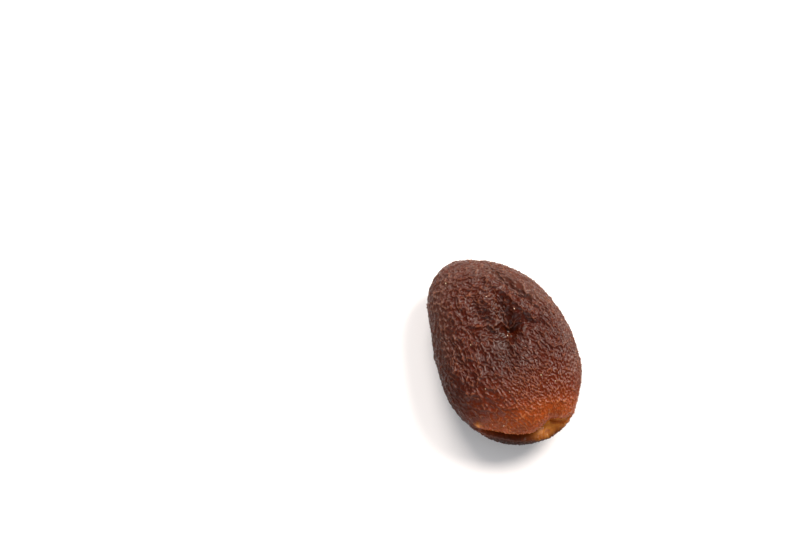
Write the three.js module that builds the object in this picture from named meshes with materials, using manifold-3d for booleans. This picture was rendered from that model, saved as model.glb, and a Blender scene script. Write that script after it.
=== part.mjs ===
// A dried, stoned apricot, lying flat on a table with its sunken cheek up.
//
// The whole fruit is one leathery body. Its stone was pressed out through the stem end, so that end
// has two lips with a slit between them, and the cheek above the empty stone cavity has sunk into a
// furrow with a funnel at its deepest place. The skin has shrunk into a net of raised wrinkles, which
// run along the rim and gather towards the furrow. Units are millimetres, +Z is up, +Y points to the
// fruit's tip and -Y to its stem end. The origin is on the table, under the middle of the fruit.

import * as THREE from "three";
import { mergeVertices } from "three/addons/utils/BufferGeometryUtils.js";
import Module from "manifold-3d";

// ---- Driving dimensions ----

const LENGTH = 41.8; // stem end to tip
const WIDTH = 28.4; // across the fruit
const SEAM_HEIGHT = 5.9; // the widest line of the rim, above the table
const CROWN = 7.3; // how far the upper cheek would rise above that line if it had not sunk
const BELLY = 6.1; // how far the lower cheek would fall below it if the table did not flatten it
const CROWN_FULLNESS = 2.35; // exponent of the cross-section: 2 is an ellipse, more is boxier
const BELLY_FULLNESS = 2.05;

const DETAIL = 23; // subdivisions of the icosahedron that the body is mapped from

// How the outline in plan departs from an ellipse: waves round it, as shares of the radius.
const OUTLINE_WAVES = [
  { lobes: 2, cos: 0, sin: 0.03 },
  { lobes: 3, cos: 0.014, sin: -0.034 },
  { lobes: 4, cos: 0.003, sin: 0.018 },
  { lobes: 5, cos: 0, sin: -0.011 },
];

// The sunken cheek.
const BOWL = { x: 1.2, y: 2.4, halfWidth: 8.0, halfLength: 12.0, depth: 1.7 };
const FUNNEL = { x: 2.6, y: 1.9, radius: 2.0, depth: 2.4 };

// Furrows, each along a quadratic curve through plan positions, with a raised bank on both sides.
const UPPER_FURROWS = [
  { path: [[4.2, 10.4], [2.8, 6.2], [2.6, 2.1]], depth: 0.9, halfWidth: 1.3, bank: 0.35 },
  { path: [[2.6, 1.8], [-0.2, -0.8], [-2.4, -6.4]], depth: 0.5, halfWidth: 1.2, bank: 0.2 },
  { path: [[4.2, 17.0], [6.2, 10.2], [10.0, 2.2]], depth: 0.6, halfWidth: 0.9, bank: 0.3 },
  { path: [[-1.0, 13.2], [-2.8, 7.0], [-0.6, 1.0]], depth: 0.35, halfWidth: 1.1, bank: 0.25 },
  { path: [[3.0, 2.2], [7.2, 2.6], [9.8, -1.2]], depth: 0.35, halfWidth: 1.0, bank: 0.2 },
  { path: [[2.2, 2.2], [-3.0, 2.2], [-7.4, 5.6]], depth: 0.25, halfWidth: 1.0, bank: 0.15 },
  { path: [[-6.8, 13.0], [-10.8, 5.0], [-9.2, -5.5]], depth: 0.25, halfWidth: 1.0, bank: 0.2 },
  { path: [[5.4, -5.0], [2.6, -9.5], [-3.4, -12.0]], depth: 0.25, halfWidth: 1.1, bank: 0.15 },
];
const LOWER_FURROWS = [
  { path: [[-1.5, 18.0], [1.6, 12.0], [0.2, 6.0]], depth: 0.9, halfWidth: 1.0, bank: 0.3 },
  { path: [[-9.5, 8.0], [-10.5, 0.0], [-7.5, -9.0]], depth: 0.7, halfWidth: 0.9, bank: 0.3 },
  { path: [[8.0, 11.0], [11.0, 2.0], [8.5, -8.0]], depth: 0.7, halfWidth: 0.9, bank: 0.3 },
  { path: [[-4.0, -10.5], [0.5, -13.5], [5.5, -11.5]], depth: 0.7, halfWidth: 0.9, bank: 0.3 },
];

// The stem end. Angles are those of the plan ellipse, in degrees from +X.
const MOUTH = {
  middle: -107, // of the arc over which the lips are separate
  halfSpan: 46, // of that arc
  parting: 1.8, // how soon the lips are fully separate from each end of the arc: 1 is at its middle
  height: 0.7, // of the slit above the widest line of the rim
  setBack: 1.2, // how much further in the upper lip ends than the lower one
  pout: 0.8, // how deep the lips curl in towards the slit
  poutReach: 1.3, // above and below the slit
  slitDepth: 2.2,
  slitGap: 0.2, // above and below the slit's middle, where it opens to the outside
  notch: -84, // where the stone came out and the slit gapes
  notchHalfSpan: 14,
  notchBack: 1.6, // added to the upper lip's set-back there
  notchDepth: 2.4, // added to the slit there
  notchGap: 0.7,
};

const LUMPS = { cell: 9.0, height: 0.55, seed: 11 };

// The net of wrinkles. Its crests come out about 3 mm apart on this mesh.
const WRINKLES = {
  height: 0.62, // from valley to crest
  rounds: 30,
  nearSteps: 2, // over which a crest feeds the skin
  farSteps: 5, // over which it starves it
  hold: 0.09, // how much more the crests grow along their way than across it
  lean: 0.3, // towards crests, so that they join round hollows
  sway: { cell: 6.5, turn: 1.3, seed: 71 }, // how the way wanders, in radians
  seed: 7,
};

const PRESSED_SHARE = 0.4; // of the lower cheek's radius, where the table has pressed the skin smooth

// ---- Noise ----

const EDGE_DIRECTIONS = [
  [1, 1, 0], [-1, 1, 0], [1, -1, 0], [-1, -1, 0],
  [1, 0, 1], [-1, 0, 1], [1, 0, -1], [-1, 0, -1],
  [0, 1, 1], [0, -1, 1], [0, 1, -1], [0, -1, -1],
];

// Which of the edge directions a lattice corner gets.
function cornerDirection(i, j, k, seed) {
  let h =
    Math.imul(i, 73856093) ^ Math.imul(j, 19349663) ^ Math.imul(k, 83492791) ^ Math.imul(seed, 40503);
  h ^= h >>> 13;
  h = Math.imul(h, 1540483477);
  h ^= h >>> 15;
  return EDGE_DIRECTIONS[(h >>> 0) % EDGE_DIRECTIONS.length];
}

const fade = (t) => t * t * t * (t * (t * 6 - 15) + 10);
const mix = (a, b, t) => a + (b - a) * t;

// Gradient noise, about -1 to 1, with a lattice cell of 1.
function noise(x, y, z, seed) {
  const i = Math.floor(x);
  const j = Math.floor(y);
  const k = Math.floor(z);
  const [fx, fy, fz] = [x - i, y - j, z - k];
  const corner = (di, dj, dk) => {
    const g = cornerDirection(i + di, j + dj, k + dk, seed);
    return g[0] * (fx - di) + g[1] * (fy - dj) + g[2] * (fz - dk);
  };
  const [u, v, w] = [fade(fx), fade(fy), fade(fz)];
  const lower = mix(mix(corner(0, 0, 0), corner(1, 0, 0), u), mix(corner(0, 1, 0), corner(1, 1, 0), u), v);
  const upper = mix(mix(corner(0, 0, 1), corner(1, 0, 1), u), mix(corner(0, 1, 1), corner(1, 1, 1), u), v);
  return mix(lower, upper, w);
}

// ---- Shape helpers ----

const smooth = (t) => {
  const c = Math.min(1, Math.max(0, t));
  return c * c * (3 - 2 * c);
};
const bump = (t) => Math.exp(-t * t);
const radians = (degrees) => (degrees * Math.PI) / 180;

// How far an angle is from another, in degrees from -180 to 180.
const turnFrom = (angle, other) => ((((angle - other + 180) % 360) + 360) % 360) - 180;

// Half of a cross-section, from the widest line of the rim at 0 to the middle of the cheek at 1, as
// [share of the plan radius, height from that line].
function profile(t, height, fullness) {
  const angle = (t * Math.PI) / 2;
  const power = 2 / fullness;
  return [Math.cos(angle) ** power, height * Math.sin(angle) ** power];
}

// A cheek's cross-section by the share of the cheek's area that lies between it and the rim, so
// that triangles of one size on the sphere stay of one size on the fruit.
const PROFILE_STEPS = 400;
function profileByArea(height, fullness) {
  const radius = (LENGTH + WIDTH) / 4;
  const places = [profile(0, height, fullness)];
  const area = [0];
  for (let n = 1; n <= PROFILE_STEPS; n++) {
    const [lastOut, lastUp] = places[n - 1];
    const [out, up] = profile(n / PROFILE_STEPS, height, fullness);
    places.push([out, up]);
    area.push(area[n - 1] + (Math.hypot((out - lastOut) * radius, up - lastUp) * (out + lastOut)) / 2);
  }
  return (share) => {
    const wanted = share * area[PROFILE_STEPS];
    let n = 1;
    while (n < PROFILE_STEPS && area[n] < wanted) n++;
    const within = Math.min(1, Math.max(0, (wanted - area[n - 1]) / (area[n] - area[n - 1])));
    return profile((n - 1 + within) / PROFILE_STEPS, height, fullness);
  };
}
const upperProfile = profileByArea(CROWN, CROWN_FULLNESS);
const lowerProfile = profileByArea(-BELLY, BELLY_FULLNESS);

// The plan radius as a share of the plain ellipse's, by the ellipse's angle.
function outline(angle) {
  let share = 1;
  for (const { lobes, cos, sin } of OUTLINE_WAVES)
    share += cos * Math.cos(lobes * angle) + sin * Math.sin(lobes * angle);
  return share;
}

const CURVE_STEPS = 14;
function withPoints(furrow) {
  const corners = furrow.path.map(([x, y]) => new THREE.Vector2(x, y));
  return { ...furrow, points: new THREE.QuadraticBezierCurve(...corners).getPoints(CURVE_STEPS) };
}

// Height that a furrow adds at a plan position: below zero in it, above zero on its banks.
function furrowHeight({ points, depth, halfWidth, bank }, x, y) {
  let nearest = Infinity;
  let along = 0;
  for (let n = 0; n < points.length - 1; n++) {
    const [a, b] = [points[n], points[n + 1]];
    const [dx, dy] = [b.x - a.x, b.y - a.y];
    const t = Math.min(1, Math.max(0, ((x - a.x) * dx + (y - a.y) * dy) / (dx * dx + dy * dy)));
    const far = Math.hypot(x - a.x - t * dx, y - a.y - t * dy);
    if (far < nearest) [nearest, along] = [far, (n + t) / (points.length - 1)];
  }
  const fadeAtEnds = Math.sqrt(Math.sin(Math.PI * Math.min(0.98, Math.max(0.02, along))));
  const across = nearest / halfWidth;
  return fadeAtEnds * (bank * bump((across - 2) / 0.8) - depth * bump(across));
}

const upperFurrows = UPPER_FURROWS.map(withPoints);
const lowerFurrows = LOWER_FURROWS.map(withPoints);

// ---- The body ----

// How much the lips are apart at an angle of the plan ellipse: 1 in the middle, 0 past the ends.
const mouthShare = (degrees) =>
  smooth((1 - Math.abs(turnFrom(degrees, MOUTH.middle)) / MOUTH.halfSpan) * MOUTH.parting);
const notchShare = (degrees) => bump(turnFrom(degrees, MOUTH.notch) / MOUTH.notchHalfSpan);

// The smooth body, with its sunken cheek, furrows and lips, for a direction of the unit sphere.
function bodyPoint(direction) {
  const angle = Math.atan2(direction.y, direction.x);
  const degrees = (angle * 180) / Math.PI;
  const above = direction.z > 0;
  const [out, height] = above ? upperProfile(direction.z) : lowerProfile(-direction.z);

  const reach = out * outline(angle);
  let x = (WIDTH / 2) * Math.cos(angle) * reach;
  let y = (LENGTH / 2) * Math.sin(angle) * reach;
  let z = height;

  const fromSlit = z - MOUTH.height;
  const apart = mouthShare(degrees);
  const setBack = MOUTH.setBack + MOUTH.notchBack * notchShare(degrees);
  const back = setBack * apart * smooth(fromSlit / 0.8 + 0.5) * out ** 4;
  const curl = MOUTH.pout * apart * bump(fromSlit / MOUTH.poutReach) * out ** 4;
  const inward = (back + curl) / Math.hypot((WIDTH / 2) * Math.cos(angle), (LENGTH / 2) * Math.sin(angle));
  x *= 1 - inward;
  y *= 1 - inward;

  const inside = smooth((1 - out) * 7); // furrows fade out at the rim
  if (above) {
    const bowl = bump(Math.hypot((x - BOWL.x) / BOWL.halfWidth, (y - BOWL.y) / BOWL.halfLength));
    const funnel = Math.exp(-Math.hypot(x - FUNNEL.x, y - FUNNEL.y) / FUNNEL.radius);
    z -= BOWL.depth * bowl + FUNNEL.depth * funnel;
    for (const furrow of upperFurrows) z += inside * furrowHeight(furrow, x, y);
  } else {
    for (const furrow of lowerFurrows) z -= inside * furrowHeight(furrow, x, y);
  }
  return new THREE.Vector3(x, y, z);
}

// ---- The skin ----

// A seeded stream of numbers from -1 to 1.
function randomStream(seed) {
  let state = seed;
  return () => {
    state = (state + 0x6d2b79f5) | 0;
    let t = Math.imul(state ^ (state >>> 15), 1 | state);
    t = (t + Math.imul(t ^ (t >>> 7), 61 | t)) ^ t;
    return ((t ^ (t >>> 14)) >>> 0) / 2 ** 31 - 1;
  };
}

function neighboursOf(geometry) {
  const sets = Array.from({ length: geometry.getAttribute("position").count }, () => new Set());
  const index = geometry.index.array;
  for (let n = 0; n < index.length; n += 3)
    for (let k = 0; k < 3; k++) {
      sets[index[n + k]].add(index[n + ((k + 1) % 3)]);
      sets[index[n + ((k + 1) % 3)]].add(index[n + k]);
    }
  return sets.map((set) => [...set]);
}

// The way the wrinkles run at a place in plan: along the rim, and towards the funnel near it. Ways
// that differ by half a turn are the same, so the two are averaged as doubled angles.
function wrinkleWay({ x, y, z }) {
  const rim = 2 * Math.atan2(x * LENGTH, -y * WIDTH);
  const radial = 2 * Math.atan2(y - FUNNEL.y, x - FUNNEL.x);
  const near = bump(Math.hypot(x - FUNNEL.x, y - FUNNEL.y) / 5);
  const cos = (1 - near) * Math.cos(rim) + near * Math.cos(radial);
  const sin = (1 - near) * Math.sin(rim) + near * Math.sin(radial);
  const { cell, turn, seed } = WRINKLES.sway;
  return Math.atan2(sin, cos) / 2 + turn * noise(x / cell, y / cell, z / cell, seed);
}

// Each neighbour's share in a vertex's average, larger along the wrinkles' way by the hold.
function sharesOf(points, near, hold) {
  return near.map((others, n) => {
    const way = wrinkleWay(points[n]);
    const shares = others.map((other) => {
      const step = points[other].clone().sub(points[n]).normalize();
      const along = step.x * Math.cos(way) + step.y * Math.sin(way);
      return 1 + hold * (2 * along * along - 1);
    });
    const total = shares.reduce((sum, share) => sum + share, 0);
    return shares.map((share) => share / total);
  });
}

// Values spread over the mesh: in each step a vertex goes halfway to its neighbours' average.
function spread(values, near, shares, steps) {
  let now = values;
  for (let step = 0; step < steps; step++)
    now = now.map((own, n) => {
      const average = near[n].reduce((sum, other, k) => sum + shares[n][k] * now[other], 0);
      return (own + average) / 2;
    });
  return now;
}

// Wrinkles of a shrinking skin, from about -1 in the valleys to 1 on the crests. In each round a
// crest feeds the skin close to it and starves the skin further off, so crests end up spaced apart.
function wrinklesOn(geometry, points) {
  const near = neighboursOf(geometry);
  const even = sharesOf(points, near, 0);
  const straight = sharesOf(points, near, WRINKLES.hold);
  const random = randomStream(WRINKLES.seed);
  let skin = points.map(random);
  for (let round = 0; round < WRINKLES.rounds; round++) {
    const fed = spread(skin, near, straight, WRINKLES.nearSteps);
    const starved = spread(skin, near, even, WRINKLES.farSteps);
    skin = skin.map((_, n) => Math.tanh(6 * (fed[n] - starved[n]) + WRINKLES.lean));
  }
  return skin;
}

function bodyGeometry() {
  const sphere = new THREE.IcosahedronGeometry(1, DETAIL);
  sphere.deleteAttribute("normal");
  sphere.deleteAttribute("uv");
  const body = mergeVertices(sphere, 1e-5);
  const place = body.getAttribute("position");
  const points = [];
  const calm = []; // where the skin is pressed smooth on the table
  for (let n = 0; n < place.count; n++) {
    const direction = new THREE.Vector3().fromBufferAttribute(place, n).normalize();
    points.push(bodyPoint(direction));
    place.setXYZ(n, ...points[n].toArray());
    calm.push(direction.z < 0 ? 1 - bump(lowerProfile(-direction.z)[0] / PRESSED_SHARE) : 1);
  }
  const wrinkles = wrinklesOn(body, points);
  body.computeVertexNormals();
  const normal = body.getAttribute("normal");
  points.forEach((p, n) => {
    const lumps = LUMPS.height * noise(p.x / LUMPS.cell, p.y / LUMPS.cell, p.z / LUMPS.cell, LUMPS.seed);
    const relief = calm[n] * (lumps + (WRINKLES.height / 2) * wrinkles[n]);
    p.addScaledVector(new THREE.Vector3().fromBufferAttribute(normal, n), relief);
    place.setXYZ(n, p.x, p.y, Math.max(0, p.z + SEAM_HEIGHT));
  });
  body.deleteAttribute("normal");
  return body;
}

// A thin curved wedge where the lips part, open to the outside and closing to an edge inside.
const SLIT_STEPS = 26;
const SLIT_REACH_OUT = 2.5; // past the outline, so that the cut is open
const LEAST_SHARE = 0.04; // of the slit's full size at its ends, so that the wedge stays solid there
function slitGeometry() {
  const place = [];
  const index = [];
  for (let n = 0; n <= SLIT_STEPS; n++) {
    const degrees = MOUTH.middle + MOUTH.halfSpan * ((2 * n) / SLIT_STEPS - 1);
    const angle = radians(degrees);
    const share = Math.max(LEAST_SHARE, mouthShare(degrees));
    const notch = notchShare(degrees);
    const gap = (MOUTH.slitGap + MOUTH.notchGap * notch) * share;
    const depth = (MOUTH.slitDepth + MOUTH.notchDepth * notch) * share + MOUTH.pout;
    const rim = new THREE.Vector2((WIDTH / 2) * Math.cos(angle), (LENGTH / 2) * Math.sin(angle));
    rim.multiplyScalar(outline(angle));
    const outwards = rim.clone().normalize();
    const z = SEAM_HEIGHT + MOUTH.height;
    const outer = rim.clone().addScaledVector(outwards, SLIT_REACH_OUT);
    const inner = rim.clone().addScaledVector(outwards, -depth);
    place.push(outer.x, outer.y, z + gap, inner.x, inner.y, z, outer.x, outer.y, z - gap);
  }
  const ring = (n, m) => 3 * n + (m % 3);
  for (let n = 0; n < SLIT_STEPS; n++)
    for (let m = 0; m < 3; m++) {
      index.push(ring(n, m), ring(n + 1, m), ring(n, m + 1));
      index.push(ring(n, m + 1), ring(n + 1, m), ring(n + 1, m + 1));
    }
  index.push(0, 1, 2);
  index.push(ring(SLIT_STEPS, 0), ring(SLIT_STEPS, 2), ring(SLIT_STEPS, 1));
  const slit = new THREE.BufferGeometry();
  slit.setAttribute("position", new THREE.Float32BufferAttribute(place, 3));
  slit.setIndex(index);
  return slit;
}

// ---- Solids ----

const wasm = await Module();
wasm.setup();

function solid(geometry) {
  const mesh = new wasm.Mesh({
    numProp: 3,
    vertProperties: new Float32Array(geometry.getAttribute("position").array),
    triVerts: new Uint32Array(geometry.index.array),
  });
  return new wasm.Manifold(mesh);
}

function geometryOf(manifold) {
  const mesh = manifold.getMesh();
  const geometry = new THREE.BufferGeometry();
  geometry.setAttribute("position", new THREE.BufferAttribute(mesh.vertProperties, 3));
  geometry.setIndex(new THREE.BufferAttribute(mesh.triVerts, 1));
  geometry.computeVertexNormals();
  return geometry;
}

// ---- The part ----

const skinMaterial = new THREE.MeshStandardMaterial({ color: 0x7a3a1e, roughness: 0.45, metalness: 0 });

const whole = solid(bodyGeometry());
const slit = solid(slitGeometry());
const SHORTEST_EDGE = 0.02; // slivers left by the cut below this are merged away
const skin = geometryOf(whole.subtract(slit).simplify(SHORTEST_EDGE));
skin.computeBoundingBox();
const middle = skin.boundingBox.getCenter(new THREE.Vector3());
skin.translate(-middle.x, -middle.y, 0);
const fruit = new THREE.Mesh(skin, skinMaterial);
fruit.name = "apricot";

const group = new THREE.Group();
group.add(fruit);

export default group;
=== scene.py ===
"""A dried, stoned apricot on a white ground, in soft light from the right and behind.

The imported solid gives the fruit's size. Its visible skin is a finer mesh of the same form, with the
same sunken cheek, furrows and parted stem end, and with narrower wrinkles than the solid can carry:
nets of ridges round hollows, which are laid out on the plump fruit and kept as it sinks.
Lengths in the form are millimetres, as in the solid's source, and become metres at the end.
"""

import math

import bpy
import numpy as np
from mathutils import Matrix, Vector, kdtree


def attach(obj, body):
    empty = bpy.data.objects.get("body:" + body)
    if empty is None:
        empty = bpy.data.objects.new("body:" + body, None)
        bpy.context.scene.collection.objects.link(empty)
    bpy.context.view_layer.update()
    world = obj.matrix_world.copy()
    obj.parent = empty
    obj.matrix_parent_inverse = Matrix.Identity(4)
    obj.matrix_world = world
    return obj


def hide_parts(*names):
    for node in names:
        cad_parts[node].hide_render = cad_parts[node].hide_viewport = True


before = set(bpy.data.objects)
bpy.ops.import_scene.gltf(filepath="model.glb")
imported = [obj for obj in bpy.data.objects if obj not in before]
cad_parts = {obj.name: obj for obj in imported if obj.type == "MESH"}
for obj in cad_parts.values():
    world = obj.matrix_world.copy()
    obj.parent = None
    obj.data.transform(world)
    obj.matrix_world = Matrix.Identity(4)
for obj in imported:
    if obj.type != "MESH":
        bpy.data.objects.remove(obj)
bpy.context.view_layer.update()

# ---- Driving dimensions, the same as the solid's (mm) ----

LENGTH = 41.8  # stem end to tip
WIDTH = 28.4  # across the fruit
SEAM_HEIGHT = 5.9  # the widest line of the rim, above the ground
CROWN = 7.3  # how far the upper cheek would rise above that line if it had not sunk
BELLY = 6.1  # how far the lower cheek would fall below it if the ground did not flatten it
CROWN_FULLNESS = 2.35  # exponent of the cross-section: 2 is an ellipse, more is boxier
BELLY_FULLNESS = 2.05
# Waves of the outline: lobes round the fruit, and the shares of their cosine and sine.
OUTLINE_WAVES = [(2, 0.0, 0.03), (3, 0.014, -0.034), (4, 0.003, 0.018), (5, 0.0, -0.011)]

BOWL = dict(x=1.2, y=2.4, half_width=8.0, half_length=12.0, depth=1.7)
FUNNEL = dict(x=2.6, y=1.9, radius=2.0, depth=2.4)

# Furrows, each along a quadratic curve through plan positions, with a raised bank on both sides.
UPPER_FURROWS = [
    dict(path=[(4.2, 10.4), (2.8, 6.2), (2.6, 2.1)], depth=0.9, half_width=1.3, bank=0.35),
    dict(path=[(2.6, 1.8), (-0.2, -0.8), (-2.4, -6.4)], depth=0.5, half_width=1.2, bank=0.2),
    dict(path=[(4.2, 17.0), (6.2, 10.2), (10.0, 2.2)], depth=0.6, half_width=0.9, bank=0.3),
    dict(path=[(-1.0, 13.2), (-2.8, 7.0), (-0.6, 1.0)], depth=0.35, half_width=1.1, bank=0.25),
    dict(path=[(3.0, 2.2), (7.2, 2.6), (9.8, -1.2)], depth=0.35, half_width=1.0, bank=0.2),
    dict(path=[(2.2, 2.2), (-3.0, 2.2), (-7.4, 5.6)], depth=0.25, half_width=1.0, bank=0.15),
    dict(path=[(-6.8, 13.0), (-10.8, 5.0), (-9.2, -5.5)], depth=0.25, half_width=1.0, bank=0.2),
    dict(path=[(5.4, -5.0), (2.6, -9.5), (-3.4, -12.0)], depth=0.25, half_width=1.1, bank=0.15),
]
LOWER_FURROWS = [
    dict(path=[(-1.5, 18.0), (1.6, 12.0), (0.2, 6.0)], depth=0.9, half_width=1.0, bank=0.3),
    dict(path=[(-9.5, 8.0), (-10.5, 0.0), (-7.5, -9.0)], depth=0.7, half_width=0.9, bank=0.3),
    dict(path=[(8.0, 11.0), (11.0, 2.0), (8.5, -8.0)], depth=0.7, half_width=0.9, bank=0.3),
    dict(path=[(-4.0, -10.5), (0.5, -13.5), (5.5, -11.5)], depth=0.7, half_width=0.9, bank=0.3),
]
# The parted lips and the notch between them: angles are in degrees round the plan ellipse.
MOUTH = dict(
    middle=-107, half_span=46, parting=1.8, height=0.7, set_back=1.2, pout=0.8, pout_reach=1.3,
    slit_depth=2.2, slit_gap=0.2,
    notch=-84, notch_half_span=14, notch_back=1.6, notch_depth=2.4, notch_gap=0.7,
)
LUMPS = dict(cell=9.0, height=0.55, seed=11)
PRESSED_SHARE = 0.4  # of the lower cheek's radius, where the ground has pressed the skin smooth

# ---- Driving dimensions of the finer skin (mm) ----

MESH_ROWS = 99  # triangles along each edge of the icosahedron: 20 x 99 x 99 in all
# Steps of the tables that spread directions evenly over the form.
ANGLE_STEPS = 360
MERIDIAN_STEPS = 300
SHARE_STEPS = 400
CURVE_STEPS = 14  # of a furrow's path, the same as the solid's

# Nets of ridges, coarse to fine. Rows are the hollows along an icosahedron's edge, spacing the
# distance between them that this gives, crest the width over which a ridge falls away, in spacings.
NETS = dict(
    coarse=dict(rows=7, spacing=2.35, height=0.5, crest=0.2, bend=0.6, seed=31),
    middle=dict(rows=14, spacing=1.18, height=0.42, crest=0.17, bend=0.4, seed=41),
    fine=dict(rows=21, spacing=0.79, height=0.34, crest=0.2, bend=0.22, seed=51),
)
NEAREST = 9  # hollows that are looked at for the ridges at a place
# Ridges are from middle less spread to middle plus spread of their net's height, and at most 1.
TALLNESS = dict(middle=0.75, spread=0.4, turns=40)
SCATTER = 0.38  # of the hollows from their even places, in spacings
# Of the hollows along their way. From start, as a share of the plan radius, it grows to the rim's.
STRETCH = dict(middle=1.7, rim=2.2, funnel=1.8, start=0.45, reach=0.4)
FUNNEL_PULL = 5  # how near the funnel they point to it
STEM_HALF = dict(reach=5, out=0.85, edge=0.25)  # where they lie lengthwise
LENGTHWISE = math.atan2(-0.9, 0.44)  # the way of the hollows in the stem half
SWAY = dict(cell=4.0, turn=0.7, seed=71)  # how the way wanders, in radians
SINK = 0.2  # of the whole skin, to make room for the ridges

# The wrinkles narrow from the funnel towards the stem end: narrow grows from its least to 1.
NARROWING = dict(least=0.2, lean=0.5, start=1, reach=12, drift=4, cell=5.0, seed=61)
RIM = dict(start=0.7, reach=0.25)  # where the rim begins, as a share of the plan radius
# How much less high a net is on the rim, where the wrinkles are narrow, and in the notch's flesh.
LESS = dict(
    coarse=dict(rim=0.5, narrow=0.5),
    middle=dict(rim=0.15, narrow=0.7, flesh=0.5),
)
# How much flatter the skin is in the slit, on the lips' edges and round the resting spot.
CALM = dict(slit=0.95, lips=0.7, lips_reach=0.6, lower=0.4, lower_reach=3)

# The crests that the material sees: how much of the nets is in them, and how much less or, for the
# fine net, more where the wrinkles are narrow.
CREST = dict(
    coarse=0.35, coarse_narrow=0.5,
    finer=0.85, middle_narrow=0.6, fine_narrow=0.9,
    least_calm=0.3, most=1.2,
)

# The thinnest wrinkles, which are in the material only.
THREADS = dict(size=0.62, along=(0.44, -0.9), stretch=1.7, sway=1.3, cell=4.5, seed=87)

FLESH = dict(below_slit=0.3, reach=0.8)  # of the dried flesh that shows in the notch
PLEATS = dict(spacing=0.55, height=0.35, wander=0.9, wander_cell=1.2, wander_seed=78, seed=77)
# The knob of dried flesh at the slit's far end.
KNOB = dict(x=-11.8, y=-12.0, above_rim=1.9, radius=0.7, height=0.4, flesh=0.7)

# ---- Where the skin's tones are (mm on the plump fruit; out is the share of the plan radius) ----

DRIFT = dict(cell=7.0, seed=81)  # how all their edges wander
TO_LIPS = (-0.14, -1.05)
TO_RIGHT = (1.0, 0.45)
ACROSS, ALONG = (0.89, -0.45), (0.45, 0.89)
WARM = dict(start=4, reach=12, drift=1.5)
GLOW = dict(start=13, reach=6)
# Dust in a band along the upper right rim, with a painted sheen over it.
RIGHT_DUST_AND_SHEEN = dict(out=0.84, width=0.2, start=6, reach=6, y_reach=6, drift=2, amount=0.78)
# Painted highlights along the very rim, on the right and on the left, in the dust's tone.
RIGHT_RIM_SHEEN = dict(out=0.97, width=0.14, reach=8, amount=0.7)
LEFT_RIM_SHEEN = dict(out=0.93, width=0.2, start=5, reach=6, y=-2, y_reach=7, drift=2, amount=0.6)
# Painted shade round the funnel's hollow.
FUNNEL_SHADE = dict(across=0.2, along=1.2, half_width=4.2, half_length=8.5)  # a dark patch by the funnel
# Painted shade on the left and lower left of the upper cheek, towards its rim.
FLANK_SHADE = dict(out=0.72, width=0.2, start=4, reach=5, end=9, end_reach=8)
# The lower cheek is darker, partly in a tone of its own and partly with painted shade under the upper lip:
# at once below the slit, little by little elsewhere, and less underneath.
LOWER_TONE_AND_SHADE = dict(lip=0.4, lip_reach=0.4, start=3, reach=5, drift=1.5, cell=6.0, seed=91)
UNDERNEATH = dict(start=3, reach=3, lighter=0.5)

# ---- Noise ----

EDGE_DIRECTIONS = np.array([
    (1, 1, 0), (-1, 1, 0), (1, -1, 0), (-1, -1, 0),
    (1, 0, 1), (-1, 0, 1), (1, 0, -1), (-1, 0, -1),
    (0, 1, 1), (0, -1, 1), (0, 1, -1), (0, -1, -1),
], float)


def wrap(n):
    return (n.astype(np.int64) & 0xFFFFFFFF).astype(np.uint32)


def corner_direction(i, j, k, seed):
    """Which edge direction each lattice corner gets."""
    h = wrap(i) * np.uint32(73856093)
    h ^= wrap(j) * np.uint32(19349663)
    h ^= wrap(k) * np.uint32(83492791)
    h ^= np.uint32((seed * 40503) & 0xFFFFFFFF)
    h ^= h >> np.uint32(13)
    h *= np.uint32(1540483477)
    h ^= h >> np.uint32(15)
    return EDGE_DIRECTIONS[h % len(EDGE_DIRECTIONS)]


def noise(p, seed):
    """Gradient noise, about -1 to 1, with a lattice cell of 1."""
    cell = np.floor(p)
    f = p - cell
    u = f * f * f * (f * (f * 6 - 15) + 10)
    total = np.zeros(len(p))
    for di in (0, 1):
        for dj in (0, 1):
            for dk in (0, 1):
                g = corner_direction(cell[:, 0] + di, cell[:, 1] + dj, cell[:, 2] + dk, seed)
                share = (
                    np.where(di, u[:, 0], 1 - u[:, 0])
                    * np.where(dj, u[:, 1], 1 - u[:, 1])
                    * np.where(dk, u[:, 2], 1 - u[:, 2])
                )
                total += share * (g * (f - (di, dj, dk))).sum(1)
    return total


def smooth(t):
    c = np.clip(t, 0, 1)
    return c * c * (3 - 2 * c)


def ramp(value, start, reach):
    """From 0 at the start to 1 a reach further on."""
    return smooth((value - start) / reach)


def bump(t):
    return np.exp(-t * t)


def turn_from(degrees, other):
    return (degrees - other + 180) % 360 - 180


# ---- The body's form ----


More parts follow.
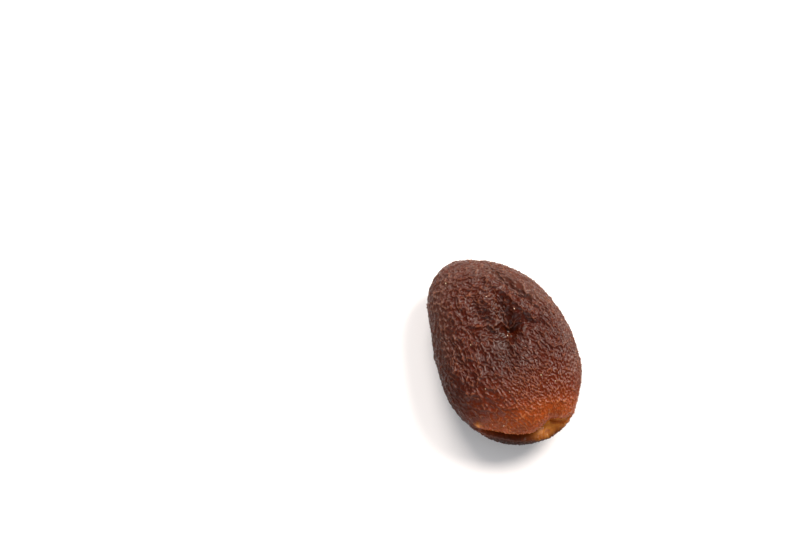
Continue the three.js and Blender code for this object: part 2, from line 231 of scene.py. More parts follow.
def even_sphere(rows):
    """Directions spread evenly over the sphere, from an icosahedron, and the triangles between them."""
    golden = (1 + math.sqrt(5)) / 2
    corners = []
    for a in (-1, 1):
        for b in (-golden, golden):
            corners += [(a, b, 0), (0, a, b), (b, 0, a)]
    corners = np.array(corners, float)
    corners /= np.linalg.norm(corners[0])
    edge = np.linalg.norm(corners[:, None] - corners[None], axis=2).round(6)
    near = edge == edge[edge > 0].min()
    triangles = []
    for a in range(12):
        for b in range(a + 1, 12):
            for c in range(b + 1, 12):
                if near[a, b] and near[b, c] and near[a, c]:
                    out = np.dot(np.cross(corners[b] - corners[a], corners[c] - corners[a]), corners[a])
                    triangles.append((a, b, c) if out > 0 else (a, c, b))
    i, j = np.meshgrid(np.arange(rows + 1), np.arange(rows + 1), indexing="ij")
    inside = i + j <= rows
    place = np.full(i.shape, -1)
    place[inside] = np.arange(inside.sum())
    i, j = i[inside], j[inside]
    up = i + j < rows
    down = i + j < rows - 1

    def at(di, dj, keep):
        return place[i[keep] + di, j[keep] + dj]

    grid = np.vstack([
        np.stack([at(0, 0, up), at(1, 0, up), at(0, 1, up)], 1),
        np.stack([at(1, 0, down), at(1, 1, down), at(0, 1, down)], 1),
    ])
    points, faces = [], []
    for a, b, c in triangles:
        faces.append(grid + len(points) * len(i))
        points.append(
            np.outer(rows - i - j, corners[a]) + np.outer(i, corners[b]) + np.outer(j, corners[c])
        )
    points = np.vstack(points)
    points /= np.linalg.norm(points, axis=1)[:, None]
    _, first, same = np.unique(points.round(7), axis=0, return_index=True, return_inverse=True)
    return points[first], same.reshape(-1)[np.vstack(faces)]


def outline(angle):
    """The plan radius as a share of the plain ellipse's, by the ellipse's angle."""
    share = np.ones_like(angle)
    for lobes, cos, sin in OUTLINE_WAVES:
        share += cos * np.cos(lobes * angle) + sin * np.sin(lobes * angle)
    return share


def mouth_share(degrees):
    from_end = 1 - np.abs(turn_from(degrees, MOUTH["middle"])) / MOUTH["half_span"]
    return smooth(from_end * MOUTH["parting"])


def notch_share(degrees):
    return bump(turn_from(degrees, MOUTH["notch"]) / MOUTH["notch_half_span"])


def furrow_height(furrow, x, y):
    """Height that a furrow adds at plan positions: below zero in it, above zero on its banks."""
    t = np.linspace(0, 1, CURVE_STEPS + 1)[:, None]
    a, b, c = np.array(furrow["path"])
    line = (1 - t) ** 2 * a + 2 * t * (1 - t) * b + t * t * c
    nearest = np.full(len(x), np.inf)
    along = np.zeros(len(x))
    for n in range(CURVE_STEPS):
        d = line[n + 1] - line[n]
        s = np.clip(((x - line[n, 0]) * d[0] + (y - line[n, 1]) * d[1]) / (d @ d), 0, 1)
        far = np.hypot(x - line[n, 0] - s * d[0], y - line[n, 1] - s * d[1])
        closer = far < nearest
        nearest = np.where(closer, far, nearest)
        along = np.where(closer, (n + s) / CURVE_STEPS, along)
    at_ends = np.sqrt(np.sin(np.pi * np.clip(along, 0.02, 0.98)))
    across = nearest / furrow["half_width"]
    return at_ends * (furrow["bank"] * bump((across - 2) / 0.8) - furrow["depth"] * bump(across))


def profile(t):
    """A meridian, from -1 in the middle of the lower cheek, through 0 on the rim, to 1 in the middle
    of the upper one: the share of the plan radius, and the height above the rim."""
    power = np.where(t > 0, 2 / CROWN_FULLNESS, 2 / BELLY_FULLNESS)
    turn = np.abs(t) * np.pi / 2
    return np.cos(turn) ** power, np.sin(turn) ** power * np.where(t > 0, CROWN, -BELLY)


def plump_at(angle, t):
    """The plump fruit, before it sank, at an ellipse angle and a place t on the meridian."""
    out, height = profile(t)
    reach = out * outline(angle)
    x = WIDTH / 2 * np.cos(angle) * reach
    y = LENGTH / 2 * np.sin(angle) * reach
    return np.stack([x, y, height], 1), out


def body_at(angle, t):
    """The smooth body there, the plump fruit with its sunken cheek, furrows, lips and slit; and how far
    in the slit it is, as a share of its greatest depth."""
    plump, out = plump_at(angle, t)
    x, y, height = plump.T
    degrees = np.degrees(angle)
    from_slit = height - MOUTH["height"]
    apart = mouth_share(degrees)
    notch = notch_share(degrees)
    near_rim = out**4
    set_back = MOUTH["set_back"] + MOUTH["notch_back"] * notch
    back = set_back * apart * smooth(from_slit / 0.8 + 0.5) * near_rim
    curl = MOUTH["pout"] * apart * bump(from_slit / MOUTH["pout_reach"]) * near_rim
    gap = MOUTH["slit_gap"] + MOUTH["notch_gap"] * notch
    depth = (MOUTH["slit_depth"] + MOUTH["notch_depth"] * notch) * apart
    slit = depth * np.exp(-np.abs(from_slit / gap) ** 2.5)
    inward = (back + curl + slit) / np.hypot(WIDTH / 2 * np.cos(angle), LENGTH / 2 * np.sin(angle))
    x, y = x * (1 - inward), y * (1 - inward)

    inside = smooth((1 - out) * 7)  # furrows fade out at the rim
    bowl = bump(np.hypot((x - BOWL["x"]) / BOWL["half_width"], (y - BOWL["y"]) / BOWL["half_length"]))
    funnel = np.exp(-np.hypot(x - FUNNEL["x"], y - FUNNEL["y"]) / FUNNEL["radius"])
    sunk = BOWL["depth"] * bowl + FUNNEL["depth"] * funnel
    for furrow in UPPER_FURROWS:
        sunk = sunk - inside * furrow_height(furrow, x, y)
    raised = 0
    for furrow in LOWER_FURROWS:
        raised = raised - inside * furrow_height(furrow, x, y)
    z = height + np.where(t > 0, -sunk, raised)
    return np.stack([x, y, z], 1), slit / (MOUTH["slit_depth"] + MOUTH["notch_depth"])


def meridian_places(direction):
    """The place on its meridian for each direction of the sphere, so that equal areas of the sphere
    become about equal areas of the fruit, in the slit too."""
    angles = np.linspace(-np.pi, np.pi, ANGLE_STEPS + 1)
    t = np.linspace(0, 1, MERIDIAN_STEPS + 1)
    even = np.linspace(0, 1, SHARE_STEPS + 1)
    share = np.abs(direction[:, 2])
    turn = np.arctan2(direction[:, 1], direction[:, 0]) + np.pi
    column = turn / (2 * np.pi) * ANGLE_STEPS
    low = np.minimum(column.astype(int), ANGLE_STEPS - 1)
    found = np.empty(len(direction))
    for side in (1, -1):
        table = np.empty((len(angles), len(even)))
        for n, angle in enumerate(angles):
            p, _ = body_at(np.full(len(t), angle), side * t)
            step = np.linalg.norm(np.diff(p, axis=0), axis=1)
            radius = np.hypot(p[:, 0], p[:, 1])
            area = np.r_[0, np.cumsum(step * (radius[1:] + radius[:-1]))]
            table[n] = np.interp(even, area / area[-1], t)
        mine = direction[:, 2] > 0 if side > 0 else direction[:, 2] <= 0
        row = share[mine] * SHARE_STEPS
        r = np.minimum(row.astype(int), SHARE_STEPS - 1)
        c = low[mine]
        into_row, into_column = row - r, column[mine] - c
        before = (1 - into_row) * table[c, r] + into_row * table[c, r + 1]
        after = (1 - into_row) * table[c + 1, r] + into_row * table[c + 1, r + 1]
        found[mine] = side * ((1 - into_column) * before + into_column * after)
    return found


# ---- Mesh helpers ----


def vertex_normals(p, faces):
    a, b, c = p[faces[:, 0]], p[faces[:, 1]], p[faces[:, 2]]
    cross = np.cross(b - a, c - a)
    normal = np.zeros_like(p)
    for corner in range(3):
        for axis in range(3):
            normal[:, axis] += np.bincount(faces[:, corner], cross[:, axis], len(p))
    return normal / np.maximum(np.linalg.norm(normal, axis=1), 1e-12)[:, None]


# ---- The skin ----


def hollows(rows, seed):
    """Middles of a net's hollows on the plump fruit, with the direction in plan and the amount in which
    each is stretched, and a mood from -1 to 1."""
    direction, _ = even_sphere(rows)
    stirred = direction * 3.3 * rows
    scatter = 2 * SCATTER / rows
    direction = direction + scatter * np.stack([noise(stirred, seed + k) for k in range(3)], 1)
    direction /= np.linalg.norm(direction, axis=1)[:, None]
    share = direction[:, 2]
    t = np.empty(len(share))
    radius = (LENGTH + WIDTH) / 4
    place = np.linspace(0, 1, SHARE_STEPS + 1)
    for side in (1, -1):
        mine = side * share >= 0
        out, height = profile(side * place)
        area = np.hypot(np.diff(out) * radius, np.diff(height)) * (out[1:] + out[:-1])
        area = np.r_[0, np.cumsum(area)]
        t[mine] = side * np.interp(side * share[mine], area / area[-1], place)
    place, out = plump_at(np.arctan2(direction[:, 1], direction[:, 0]), t)

    # Along the rim, along the fruit in the stem half of the cheeks, and towards the funnel near it.
    # Ways that differ by half a turn are the same, so they are averaged as doubled angles.
    from_funnel = place[:, :2] - (FUNNEL["x"], FUNNEL["y"])
    near = bump(np.linalg.norm(from_funnel, axis=1) / FUNNEL_PULL)
    rim = 2 * np.arctan2(place[:, 0] * LENGTH, -place[:, 1] * WIDTH)
    radial = 2 * np.arctan2(from_funnel[:, 1], from_funnel[:, 0])
    stem_half = smooth(-place[:, 1] / STEM_HALF["reach"])
    stem_half *= smooth((STEM_HALF["out"] - out) / STEM_HALF["edge"])
    cos = stem_half * math.cos(2 * LENGTHWISE) + (1 - stem_half) * np.cos(rim)
    sin = stem_half * math.sin(2 * LENGTHWISE) + (1 - stem_half) * np.sin(rim)
    cos = (1 - near) * cos + near * np.cos(radial)
    sin = (1 - near) * sin + near * np.sin(radial)
    way = np.arctan2(sin, cos) / 2 + SWAY["turn"] * noise(place / SWAY["cell"], SWAY["seed"])
    outward = ramp(out, STRETCH["start"], STRETCH["reach"])
    stretch = STRETCH["middle"] + (STRETCH["rim"] - STRETCH["middle"]) * outward
    stretch += (STRETCH["funnel"] - stretch) * near * (t > 0)
    mood = np.sin(TALLNESS["turns"] * noise(direction * 3.3 * rows, seed + 5))
    return place, np.stack([np.cos(way), np.sin(way), np.zeros(len(way))], 1), stretch, mood


def net(plump, rows, spacing, crest, bend, seed, **_):
    """Height of a net of ridges at places on the plump fruit, from 0 in the hollows to 1. The ridge
    between two hollows is lower where either mood is near 0."""
    middle, run, stretch, mood = hollows(rows, seed)
    bent = plump + bend * np.stack([noise(plump / spacing, seed + 10 + k) for k in range(3)], 1)
    bent += bend / 2 * np.stack([noise(plump / spacing * 2.1, seed + 20 + k) for k in range(3)], 1)
    tree = kdtree.KDTree(len(middle))
    for n, place in enumerate(middle):
        tree.insert(place, n)
    tree.balance()
    near = np.array([[n for _, n, _ in tree.find_n(place, NEAREST)] for place in bent])
    step = bent[:, None] - middle[near]
    along = (step * run[near]).sum(2) ** 2
    across = np.maximum((step**2).sum(2) - along, 0)
    far = np.sqrt(across * stretch[near] + along / stretch[near]) / spacing
    order = np.argsort(far, axis=1)
    far = np.take_along_axis(far, order, 1)
    mood = np.take_along_axis(mood[near], order, 1)
    tallness = TALLNESS["middle"] + TALLNESS["spread"] * mood[:, :1] * mood[:, 1:]
    tallness = np.minimum(tallness, 1)
    return (tallness * np.exp((far[:, :1] - far[:, 1:]) / crest)).max(1)


def thread_places(plump):
    """Places on the plump fruit as the thinnest wrinkles see them: shortened along their run, and bent."""
    x, y, z = plump.T
    ax, ay = THREADS["along"]
    place = np.stack([(x * ax + y * ay) / THREADS["stretch"], x * ay - y * ax, z], 1)
    bent = np.stack([noise(plump / THREADS["cell"], THREADS["seed"] + k) for k in range(3)], 1)
    return (place + THREADS["sway"] * bent) / THREADS["size"]


def build_skin():
    """The places of the skin's vertices in millimetres, its triangles, and its marks by name."""
    direction, faces = even_sphere(MESH_ROWS)
    angle = np.arctan2(direction[:, 1], direction[:, 0])
    t = meridian_places(direction)
    plump, out = plump_at(angle, t)
    p, slit = body_at(angle, t)
    above = smooth(t * 10 + 0.5)
    on_rim = ramp(out, RIM["start"], RIM["reach"])
    from_slit = plump[:, 2] - MOUTH["height"]
    apart = mouth_share(np.degrees(angle))
    in_notch = notch_share(np.degrees(angle))
    flesh = in_notch * bump((from_slit + FLESH["below_slit"]) / FLESH["reach"])
    from_knob = p - (KNOB["x"], KNOB["y"], KNOB["above_rim"])
    knob = bump(np.linalg.norm(from_knob, axis=1) / KNOB["radius"])

    # The slit and the lips' edges are smooth, and the lower cheek is flattened where it rests and
    # duller round that.
    pressed = np.where(t < 0, bump(out / PRESSED_SHARE), 0)
    calm = (1 - CALM["slit"] * smooth(slit * 5)) * (1 - pressed)
    calm *= 1 - CALM["lips"] * apart * bump(from_slit / CALM["lips_reach"])
    calm *= 1 - CALM["lower"] * smooth(-plump[:, 2] / CALM["lower_reach"])

    nets = {name: net(plump, **sizes) for name, sizes in NETS.items()}
    toward_stem = NARROWING["lean"] * plump[:, 0] - plump[:, 1]
    toward_stem += NARROWING["drift"] * noise(plump / NARROWING["cell"], NARROWING["seed"])
    narrow = ramp(toward_stem, NARROWING["start"], NARROWING["reach"])
    narrow = NARROWING["least"] + (1 - NARROWING["least"]) * narrow
    shares = dict(
        coarse=(1 - LESS["coarse"]["rim"] * on_rim) * (1 - LESS["coarse"]["narrow"] * narrow),
        middle=(1 - LESS["middle"]["rim"] * on_rim) * (1 - LESS["middle"]["narrow"] * narrow),
        fine=narrow,
    )
    shares["middle"] *= 1 - LESS["middle"]["flesh"] * flesh
    relief = LUMPS["height"] * noise(p / LUMPS["cell"], LUMPS["seed"]) - SINK
    for name, sizes in NETS.items():
        relief += shares[name] * sizes["height"] * nets[name]
    wander = PLEATS["wander"] * noise(plump / PLEATS["wander_cell"], PLEATS["wander_seed"])
    arc = np.stack([angle * LENGTH / 2 / PLEATS["spacing"] + wander, plump[:, 2] / 2, 0 * t], 1)
    relief += flesh * PLEATS["height"] * (1 - 2 * np.abs(noise(arc, PLEATS["seed"])))
    relief += KNOB["height"] * knob
    p = p + (calm * relief)[:, None] * vertex_normals(p, faces)
    p[:, 2] = np.maximum(p[:, 2] + SEAM_HEIGHT, 0)
    p[:, :2] -= (p[:, :2].max(0) + p[:, :2].min(0)) / 2

    # Where the lower cheek's darker tone and painted shade begin.
    lip = above * (LOWER_TONE_AND_SHADE["lip"] + (1 - LOWER_TONE_AND_SHADE["lip"]) * smooth(from_slit / LOWER_TONE_AND_SHADE["lip_reach"] + 0.5))
    edge = LOWER_TONE_AND_SHADE["drift"] * noise(plump / LOWER_TONE_AND_SHADE["cell"], LOWER_TONE_AND_SHADE["seed"])
    faded = ramp(plump[:, 2] + edge, -LOWER_TONE_AND_SHADE["start"], LOWER_TONE_AND_SHADE["reach"])
    upper = apart * lip + (1 - apart) * faded
    marks = skin_marks(plump, out, upper)
    marks["flesh"] = np.maximum(flesh, KNOB["flesh"] * knob)
    coarser = (1 - CREST["coarse_narrow"] * narrow) * nets["coarse"]
    finer = (1 - CREST["middle_narrow"] * narrow) * nets["middle"]
    finer += CREST["fine_narrow"] * narrow * nets["fine"]
    crest = np.clip(CREST["coarse"] * coarser + CREST["finer"] * finer, 0, CREST["most"])
    marks["crest"] = (CREST["least_calm"] + (1 - CREST["least_calm"]) * calm) * crest
    marks["thread"] = nets["fine"]
    marks["thread_place"] = thread_places(plump)
    return p, faces, marks


def toward(way, x, y):
    return way[0] * x + way[1] * y


def skin_marks(plump, out, upper):
    """Where each tone of the skin, with its painted shade and painted sheen, is, per vertex. Upper is 1 on
    the upper cheek and 0 on the lower.
    """
    x, y, z = plump.T
    drift = noise(plump / DRIFT["cell"], DRIFT["seed"])
    right, across, along = toward(TO_RIGHT, x, y), toward(ACROSS, x, y), toward(ALONG, x, y)

    to_lips = toward(TO_LIPS, x, y) + WARM["drift"] * drift
    warm = ramp(to_lips, WARM["start"], WARM["reach"])
    glow = ramp(to_lips, GLOW["start"], GLOW["reach"])

    # Dust along the upper right rim, with a painted sheen over it.
    right_dust_and_sheen = bump((out - RIGHT_DUST_AND_SHEEN["out"]) / RIGHT_DUST_AND_SHEEN["width"])
    right_dust_and_sheen *= ramp(right + RIGHT_DUST_AND_SHEEN["drift"] * drift, RIGHT_DUST_AND_SHEEN["start"], RIGHT_DUST_AND_SHEEN["reach"])
    right_dust_and_sheen *= smooth(y / RIGHT_DUST_AND_SHEEN["y_reach"])
    # Painted highlights along the very rim, on the right and on the left.
    right_rim_sheen = bump((out - RIGHT_RIM_SHEEN["out"]) / RIGHT_RIM_SHEEN["width"])
    right_rim_sheen *= smooth(right / RIGHT_RIM_SHEEN["reach"])
    left_rim_sheen = bump((out - LEFT_RIM_SHEEN["out"]) / LEFT_RIM_SHEEN["width"])
    left_rim_sheen *= ramp(-across, LEFT_RIM_SHEEN["start"], LEFT_RIM_SHEEN["reach"])
    left_rim_sheen *= ramp(y + LEFT_RIM_SHEEN["drift"] * drift, LEFT_RIM_SHEEN["y"], LEFT_RIM_SHEEN["y_reach"])
    rim_sheens = np.maximum(RIGHT_RIM_SHEEN["amount"] * right_rim_sheen, LEFT_RIM_SHEEN["amount"] * left_rim_sheen)
    dust_and_sheen = np.maximum(RIGHT_DUST_AND_SHEEN["amount"] * right_dust_and_sheen, rim_sheens)

    # Painted shade round the funnel's hollow.
    funnel_shade_across = (across - FUNNEL_SHADE["across"] - drift) / FUNNEL_SHADE["half_width"]
    funnel_shade_along = (along - FUNNEL_SHADE["along"]) / FUNNEL_SHADE["half_length"]
    funnel_shade = bump(np.hypot(funnel_shade_across, funnel_shade_along))
    # Painted shade on the left and lower left of the upper cheek.
    flank_shade = ramp(out, FLANK_SHADE["out"], FLANK_SHADE["width"])
    flank_shade *= ramp(drift - across, FLANK_SHADE["start"], FLANK_SHADE["reach"])
    flank_shade *= smooth((FLANK_SHADE["end"] - along) / FLANK_SHADE["end_reach"])

    marks = dict(warm=warm, glow=glow, dust_and_sheen=dust_and_sheen, funnel_shade=funnel_shade, flank_shade=flank_shade)
    marks = {name: upper * place for name, place in marks.items()}
    # The lower cheek's darker tone and painted shade, less underneath.
    underneath = ramp(-z, UNDERNEATH["start"], UNDERNEATH["reach"])
    marks["under"] = (1 - upper) * (1 - UNDERNEATH["lighter"] * underneath)
    return marks


def mesh_object(name, p, faces, attributes):
    """An object in the scene, from places in millimetres."""
    mesh = bpy.data.meshes.new(name)
    mesh.vertices.add(len(p))
    mesh.vertices.foreach_set("co", (p / 1000).astype(np.float32).ravel())
    mesh.loops.add(faces.size)
    mesh.loops.foreach_set("vertex_index", faces.astype(np.int32).ravel())
    mesh.polygons.add(len(faces))
    mesh.polygons.foreach_set("loop_start", np.arange(0, faces.size, 3, dtype=np.int32))
    mesh.polygons.foreach_set("loop_total", np.full(len(faces), 3, np.int32))
    mesh.polygons.foreach_set("use_smooth", np.ones(len(faces), bool))
    for key, values in attributes.items():
        kind, field = ("FLOAT", "value") if values.ndim == 1 else ("FLOAT_VECTOR", "vector")
        mesh.attributes.new(key, kind, "POINT").data.foreach_set(field, values.astype(np.float32).ravel())
    mesh.update()
    mesh.validate()
    ob = bpy.data.objects.new(name, mesh)
    bpy.context.scene.collection.objects.link(ob)
    return ob


p, faces, marks = build_skin()
fruit = mesh_object("dried_apricot", p, faces, marks)

# ---- Materials ----


class Nodes:
    """Short calls for building a material's node tree."""

    def __init__(self, name):
        self.material = bpy.data.materials.new(name)
        self.material.use_nodes = True
        self.tree = self.material.node_tree
        self.shader = self.tree.nodes["Principled BSDF"]

    def add(self, kind, **settings):
        node = self.tree.nodes.new("ShaderNode" + kind)
        for key, value in settings.items():
            setattr(node, key, value)
        return node

    def wire(self, value, socket):
        if isinstance(value, bpy.types.NodeSocket):
            self.tree.links.new(value, socket)
        else:
            socket.default_value = value

    def mark(self, name, output="Fac"):
        return self.add("Attribute", attribute_name=name).outputs[output]

    def place(self):
        return self.add("TexCoord").outputs["Object"]

    def math(self, operation, a, b=0.0, clamp=False):
        node = self.add("Math", operation=operation, use_clamp=clamp)
        self.wire(a, node.inputs[0])
        self.wire(b, node.inputs[1])
        return node.outputs[0]

    def blend(self, share, a, b):
        node = self.add("Mix", data_type="RGBA")
        self.wire(share, node.inputs["Factor"])
        self.wire(a, node.inputs["A"])
        self.wire(b, node.inputs["B"])
        return node.outputs["Result"]

    def scale(self, colour, factor):
        node = self.add("VectorMath", operation="SCALE")
        self.wire(colour, node.inputs[0])
        self.wire(factor, node.inputs["Scale"])
        return node.outputs[0]

    def rescale(self, value, low, high, to_low=0.0, to_high=1.0):
        node = self.add("MapRange")
        self.wire(value, node.inputs["Value"])
        node.inputs["From Min"].default_value = low
        node.inputs["From Max"].default_value = high
        node.inputs["To Min"].default_value = to_low
        node.inputs["To Max"].default_value = to_high
        return node.outputs["Result"]

    def noise(self, size, detail=2.0, roughness=0.5, distortion=0.0):
        """Noise from about 0 to 1, with features of size metres."""
        node = self.add("TexNoise")
        self.wire(self.place(), node.inputs["Vector"])
        node.inputs["Scale"].default_value = 1 / size
        node.inputs["Detail"].default_value = detail
        node.inputs["Roughness"].default_value = roughness
        node.inputs["Distortion"].default_value = distortion
        return node.outputs["Fac"]


TONES = dict(
    # The valley tones carry painted shade of the creases and the ridge tones a painted sheen, as well as
    # the skin's own colours.
    valley=(0.04, 0.0036, 0.0004, 1),
    warm_valley=(0.12, 0.015, 0.001, 1),
    glowing_valley=(0.31, 0.056, 0.007, 1),
    mottled_valley=(0.09, 0.01, 0.001, 1),
    funnel_shade_valley=(0.018, 0.0035, 0.0012, 1),
    ridge=(0.185, 0.052, 0.022, 1),
    warm_ridge=(0.29, 0.082, 0.027, 1),
    glowing_ridge=(0.45, 0.135, 0.036, 1),
    funnel_shade_ridge=(0.08, 0.027, 0.016, 1),
    dust_and_sheen=(0.19, 0.11, 0.082, 1),
    flank_shade=(0.03, 0.006, 0.002, 1),
    under=(0.02, 0.004, 0.0015, 1),
    brown_flesh=(0.42, 0.1, 0.009, 1),
    yellow_flesh=(0.9, 0.33, 0.045, 1),
    sugar=(0.85, 0.66, 0.45, 1),
)
# Sizes of features in the material, in metres.
MOTTLE_SIZE = 0.0026
BLOTCH_SIZE = 0.0015
SPECKLE_SIZE = 0.0007
GRAIN_SIZE = 0.00045
CREASE_SIZE = 0.0006
THREAD_PATCH_SIZE = 0.0016
SUGAR_SPACING = 0.0019
# How far each tone that lies over the others goes.
AMOUNTS = dict(mottle=0.4, funnel_shade=0.6, flank_shade=0.5, under=0.9)
BUMP = dict(strength=0.12, distance=0.00006, creases=1.5, sugar=1.2, thread=0.5)


def skin_material():
    n = Nodes("apricot_skin")
    crest, warm, glow, funnel_shade = n.mark("crest"), n.mark("warm"), n.mark("glow"), n.mark("funnel_shade")
    mottle = n.rescale(n.noise(MOTTLE_SIZE, 3.0, 0.6), 0.35, 0.65)
    speckle = n.rescale(n.noise(SPECKLE_SIZE, 3.0, 0.6), 0.38, 0.62)

    # The thinnest wrinkles are the walls between cells, and fade in and out.
    walls = n.add("TexVoronoi", feature="DISTANCE_TO_EDGE")
    n.wire(n.mark("thread_place", "Vector"), walls.inputs["Vector"])
    walls.inputs["Scale"].default_value = 1.0
    thread = n.rescale(walls.outputs["Distance"], 0.02, 0.14, 1.0, 0.0)
    thread = n.math("MULTIPLY", thread, n.rescale(n.noise(THREAD_PATCH_SIZE, 2.0, 0.6), 0.4, 0.55))

    # Between the crests the flesh shows through, dark red to orange: partly its own colour, partly painted
    # shade in the creases.
    valley = n.blend(warm, TONES["valley"], TONES["warm_valley"])
    valley = n.blend(glow, valley, TONES["glowing_valley"])
    valley = n.blend(n.math("MULTIPLY", mottle, AMOUNTS["mottle"]), valley, TONES["mottled_valley"])
    valley = n.blend(n.math("MULTIPLY", funnel_shade, AMOUNTS["funnel_shade"]), valley, TONES["funnel_shade_valley"])
    # Painted shade: the hollows are darker at the foot of the ridges and lighter in their open middles.
    valley = n.scale(valley, n.rescale(crest, 0.06, 0.4, 1.2, 0.75))
    # On the crests the skin is duller and greyer: partly its own colour, partly a painted sheen.
    ridge = n.blend(warm, TONES["ridge"], TONES["warm_ridge"])
    ridge = n.blend(glow, ridge, TONES["glowing_ridge"])
    ridge = n.blend(n.math("MULTIPLY", funnel_shade, AMOUNTS["funnel_shade"]), ridge, TONES["funnel_shade_ridge"])
    share = n.math("ADD", n.rescale(crest, 0.35, 0.95), n.rescale(n.mark("thread"), 0.6, 1.0, 0.0, 0.15))
    share = n.math("MULTIPLY", share, n.rescale(speckle, 0.0, 1.0, 0.85, 1.0), clamp=True)
    skin = n.blend(share, valley, ridge)

    # The bloom is a dust, more on the crests, with a painted sheen where it runs along the rims; the flank
    # is darker with painted shade, and the lower cheek with a darker tone of its own and painted shade.
    dust_and_sheen_share = n.math("MULTIPLY", n.mark("dust_and_sheen"), n.rescale(speckle, 0.0, 1.0, 0.4, 0.8))
    dust_and_sheen_share = n.math("MULTIPLY", dust_and_sheen_share, n.rescale(share, 0.0, 1.0, 0.4, 1.0))
    skin = n.blend(dust_and_sheen_share, skin, TONES["dust_and_sheen"])
    for place in ("flank_shade", "under"):
        skin = n.blend(n.math("MULTIPLY", n.mark(place), AMOUNTS[place]), skin, TONES[place])

    # The dried flesh of the notch and the knob is yellow, with brown blotches.
    blotch = n.rescale(n.noise(BLOTCH_SIZE, 2.0, 0.5, 0.4), 0.38, 0.62)
    flesh = n.blend(blotch, TONES["brown_flesh"], TONES["yellow_flesh"])
    skin = n.blend(n.mark("flesh"), skin, flesh)

    # Specks of sugar.
    cells = n.add("TexVoronoi")
    n.wire(n.place(), cells.inputs["Vector"])
    cells.inputs["Scale"].default_value = 1 / SUGAR_SPACING
    split = n.add("SeparateColor")
    n.wire(cells.outputs["Color"], split.inputs["Color"])
    chosen = n.math("GREATER_THAN", split.outputs["Red"], 0.72)
    close = n.rescale(cells.outputs["Distance"], 0.04, 0.075, 1.0, 0.0)
    speck = n.math("MULTIPLY", chosen, close)
    skin = n.blend(speck, skin, TONES["sugar"])
    n.wire(skin, n.shader.inputs["Base Color"])

    n.wire(n.rescale(crest, 0.3, 0.8, 0.25, 0.31), n.shader.inputs["Roughness"])
    n.shader.inputs["Specular IOR Level"].default_value = 0.18
    n.shader.inputs["Subsurface Weight"].default_value = 0.15
    n.shader.inputs["Subsurface Radius"].default_value = (1.0, 0.25, 0.08)
    n.shader.inputs["Subsurface Scale"].default_value = 0.00025

    # Fine grain and creases, with the specks and the thinnest wrinkles raised.
    grain = n.noise(GRAIN_SIZE, 1.0, 0.5)
    creases = n.math("ABSOLUTE", n.math("SUBTRACT", n.noise(CREASE_SIZE, 2.0, 0.5, 0.6), 0.5))
    height = n.math("SUBTRACT", grain, n.math("MULTIPLY", creases, BUMP["creases"]))
    height = n.math("ADD", height, n.math("MULTIPLY", speck, BUMP["sugar"]))
    height = n.math("ADD", height, n.math("MULTIPLY", thread, BUMP["thread"]))
    relief = n.add("Bump")
    relief.inputs["Strength"].default_value = BUMP["strength"]
    relief.inputs["Distance"].default_value = BUMP["distance"]
    n.wire(height, relief.inputs["Height"])
    n.wire(relief.outputs["Normal"], n.shader.inputs["Normal"])
    return n.material


fruit.data.materials.append(skin_material())
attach(fruit, "root")
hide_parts("apricot")

# ---- Studio ----

PHOTO_WIDTH, PHOTO_HEIGHT = 800, 533
FRUIT_PIXEL = (499.3, 358.4)  # where the photograph shows the middle of the fruit's foot
PIXELS_PER_METRE = 4880
AZIMUTH, ELEVATION = -27.0, 68.0
LENS, SENSOR = 90.0, 36.0
WARM_WHITE = (1, 0.9, 0.82)
LIGHT_DISTANCE = 0.8
# Turn is from the camera's azimuth, and both angles are in degrees.
SOFTBOXES = dict(
    right=dict(turn=125, elevation=40, size=0.45, power=9.2, colour=WARM_WHITE),
    back=dict(turn=195, elevation=42, size=0.5, power=5.5, colour=WARM_WHITE),
    front=dict(turn=-25, elevation=34, size=0.6, power=2.5, colour=(1, 1, 1)),
)
WORLD_STRENGTH = 0.34
GROUND = dict(size=4, colour=(0.9, 0.9, 0.92, 1), roughness=0.6)

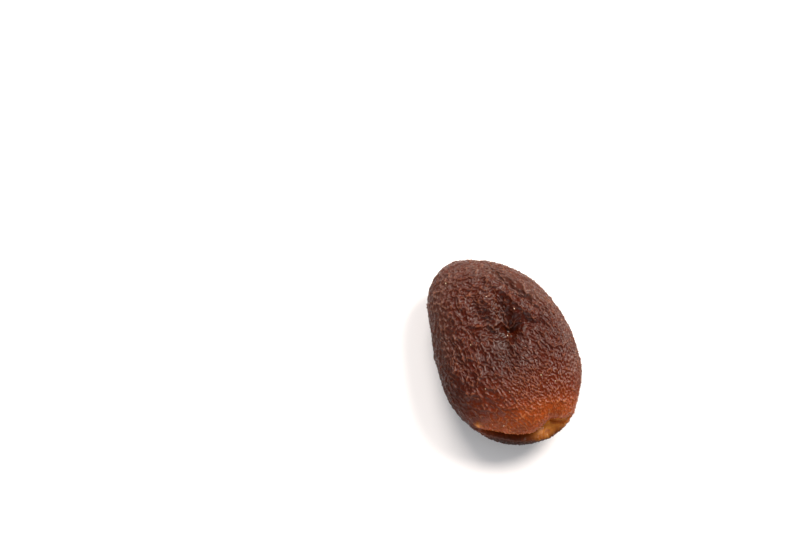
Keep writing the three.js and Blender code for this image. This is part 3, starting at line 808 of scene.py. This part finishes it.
bpy.ops.mesh.primitive_plane_add(size=GROUND["size"])
floor = bpy.context.object
floor.name = "floor"
floor_material = bpy.data.materials.new("white_ground")
floor_material.use_nodes = True
shader = floor_material.node_tree.nodes["Principled BSDF"]
shader.inputs["Base Color"].default_value = GROUND["colour"]
shader.inputs["Roughness"].default_value = GROUND["roughness"]
floor.data.materials.append(floor_material)

world = bpy.data.worlds.new("studio")
world.use_nodes = True
world.node_tree.nodes["Background"].inputs["Color"].default_value = (1, 1, 1, 1)
world.node_tree.nodes["Background"].inputs["Strength"].default_value = WORLD_STRENGTH
bpy.context.scene.world = world


def seen_from(azimuth, elevation):
    """The direction from the fruit to where it is seen or lit from."""
    a, e = math.radians(azimuth), math.radians(elevation)
    return np.array([math.sin(a) * math.cos(e), -math.cos(a) * math.cos(e), math.sin(e)])


def softbox(name, turn, elevation, size, power, colour):
    light = bpy.data.lights.new(name, "AREA")
    light.shape = "DISK"
    light.size = size
    light.energy = power
    light.color = colour
    direction = seen_from(AZIMUTH + turn, elevation)
    ob = bpy.data.objects.new(name, light)
    ob.location = direction * LIGHT_DISTANCE
    ob.rotation_euler = Vector(direction).to_track_quat("Z", "Y").to_euler()
    bpy.context.scene.collection.objects.link(ob)


for side, settings in SOFTBOXES.items():
    softbox(side + "_softbox", **settings)

camera = bpy.data.cameras.new("camera")
camera.lens = LENS
camera.sensor_width = SENSOR
camera_object = bpy.data.objects.new("camera", camera)
bpy.context.scene.collection.objects.link(camera_object)
backward = seen_from(AZIMUTH, ELEVATION)
right = np.array([math.cos(math.radians(AZIMUTH)), math.sin(math.radians(AZIMUTH)), 0])
up = np.cross(backward, right)
distance = LENS / SENSOR * PHOTO_WIDTH / PIXELS_PER_METRE
aside = (PHOTO_WIDTH / 2 - FRUIT_PIXEL[0]) / PIXELS_PER_METRE
higher = (FRUIT_PIXEL[1] - PHOTO_HEIGHT / 2) / PIXELS_PER_METRE
camera_object.location = backward * distance + right * aside + up * higher
camera_object.rotation_euler = Vector(backward).to_track_quat("Z", "Y").to_euler()
bpy.context.scene.camera = camera_object
bpy.context.scene.view_settings.view_transform = "Standard"
